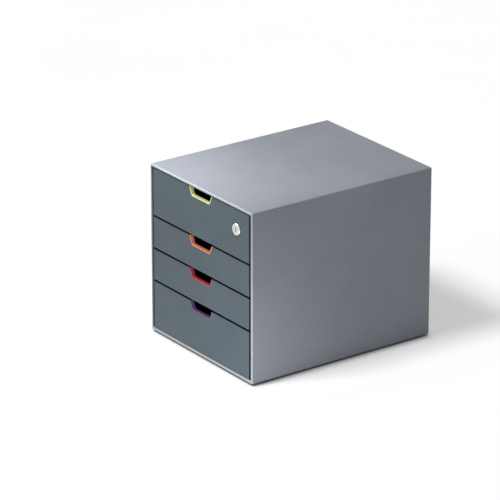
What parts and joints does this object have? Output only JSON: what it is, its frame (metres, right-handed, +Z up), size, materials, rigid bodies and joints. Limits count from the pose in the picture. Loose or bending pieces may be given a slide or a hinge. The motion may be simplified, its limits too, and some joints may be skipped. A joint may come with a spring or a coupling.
{
  "type": "desktop drawer unit",
  "caption": "Closed box for a desk with stacked pull-out drawers, each with a coloured finger grip, and a cam lock on the top drawer.",
  "frame": {"origin": "on the surface that the feet stand on, under the middle of the overall box", "axes": "+Z up, -Y out of the drawers' fronts, +X to the right as seen from the front"},
  "size_m": [0.28, 0.356, 0.292],
  "materials": {
    "casing": "satin silver grey with a fine grain",
    "dark_plastic": "moulded, dark grey, matt",
    "tray_plastic": "moulded, dark grey, satin",
    "front_plastic": "blue-grey, satin with a fine grain",
    "liner_yellow": "glossy yellow",
    "liner_orange": "glossy orange",
    "liner_red": "glossy red",
    "liner_violet": "glossy dark violet",
    "foot_rubber": "dark grey rubber",
    "nickel": "nickel plate, satin",
    "zinc": "zinc plate",
    "steel": "zinc plated steel",
    "brass": "plain brass"
  },
  "bodies": {
    "cabinet": {"casing": "casing", "back_panel": "dark_plastic", "side_frame_left": "dark_plastic", "side_frame_right": "dark_plastic", "foot_front_left": "foot_rubber", "foot_front_right": "foot_rubber", "foot_rear_left": "foot_rubber", "foot_rear_right": "foot_rubber", "lock_keeper": "steel", "keeper_screw": "steel"},
    "drawer_1": {"drawer_1_tray": "tray_plastic", "drawer_1_liner": "liner_yellow", "drawer_1_front": "front_plastic", "lock_housing": "nickel", "lock_nut": "zinc"},
    "drawer_2": {"drawer_2_tray": "tray_plastic", "drawer_2_liner": "liner_orange", "drawer_2_front": "front_plastic"},
    "drawer_3": {"drawer_3_tray": "tray_plastic", "drawer_3_liner": "liner_red", "drawer_3_front": "front_plastic"},
    "drawer_4": {"drawer_4_tray": "tray_plastic", "drawer_4_liner": "liner_violet", "drawer_4_front": "front_plastic"},
    "lock": {"lock_plug": "nickel", "lock_wafers": "brass", "lock_cam": "steel", "cam_screw": "steel"}
  },
  "joints": [
    {"name": "drawer_1_slide", "type": "slide", "parent": "cabinet", "child": "drawer_1", "axis": [0, -1, 0], "range_m": [0, 0.25]},
    {"name": "drawer_2_slide", "type": "slide", "parent": "cabinet", "child": "drawer_2", "axis": [0, -1, 0], "range_m": [0, 0.25]},
    {"name": "drawer_3_slide", "type": "slide", "parent": "cabinet", "child": "drawer_3", "axis": [0, -1, 0], "range_m": [0, 0.25]},
    {"name": "drawer_4_slide", "type": "slide", "parent": "cabinet", "child": "drawer_4", "axis": [0, -1, 0], "range_m": [0, 0.25]},
    {"name": "lock_turn", "type": "hinge", "parent": "drawer_1", "child": "lock", "pos_m": [0.098, -0.178, 0.2532], "axis": [0, 1, 0], "range_deg": [0, 90]}
  ]
}
